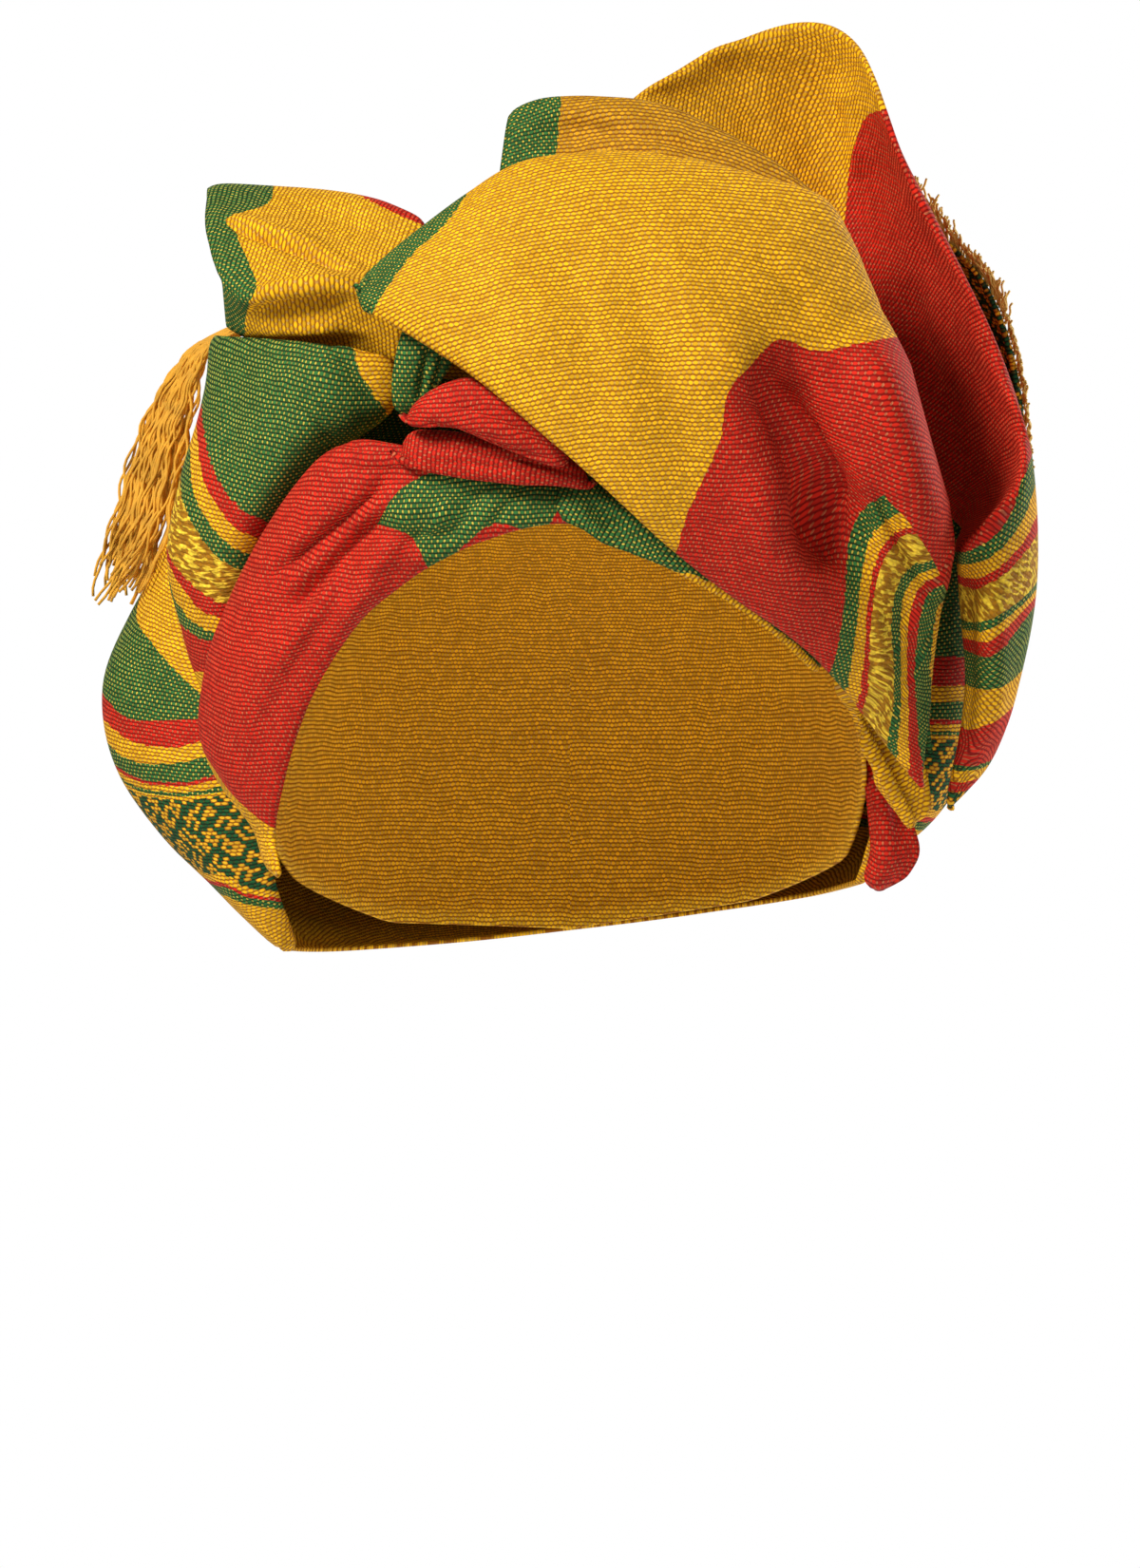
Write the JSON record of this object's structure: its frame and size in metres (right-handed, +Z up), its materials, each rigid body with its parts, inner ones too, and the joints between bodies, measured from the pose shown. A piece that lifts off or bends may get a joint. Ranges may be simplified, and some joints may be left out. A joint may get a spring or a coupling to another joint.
{
  "type": "head wrap",
  "caption": "Worn head wrap of striped handwoven cotton: full back, twisted knot above the brow, leaf-shaped front loop and a tall rear loop, with fringed ends.",
  "frame": {"origin": "the top of the head inside the wrap, where the close layer sits on it", "axes": "+Z up along the head, +X to the right of the front view, -Y towards the front"},
  "size_m": [0.2523, 0.2491, 0.2493],
  "materials": {
    "cloth_yellow": "coarse plain weave",
    "cloth_red": "coarse plain weave",
    "cloth_green": "coarse plain weave",
    "cloth_ochre": "coarse plain weave",
    "fringe_yarn": "twisted yarn"
  },
  "bodies": {
    "root": {"crown_wrap": "cloth_yellow", "back_wrap": "cloth_yellow", "left_upper_loop": "cloth_yellow", "left_lower_loop": "cloth_green", "band_left": "cloth_red", "band_right": "cloth_green", "knot_side": "cloth_green", "knot_lower": "cloth_red", "knot_upper": "cloth_red", "tuck_red": "cloth_red", "tuck_yellow": "cloth_yellow", "front_fan": "cloth_yellow", "middle_fold": "cloth_ochre", "rear_fan": "cloth_red", "tail_right": "cloth_green", "fringe_left": "fringe_yarn", "fringe_right": "fringe_yarn"}
  },
  "joints": []
}
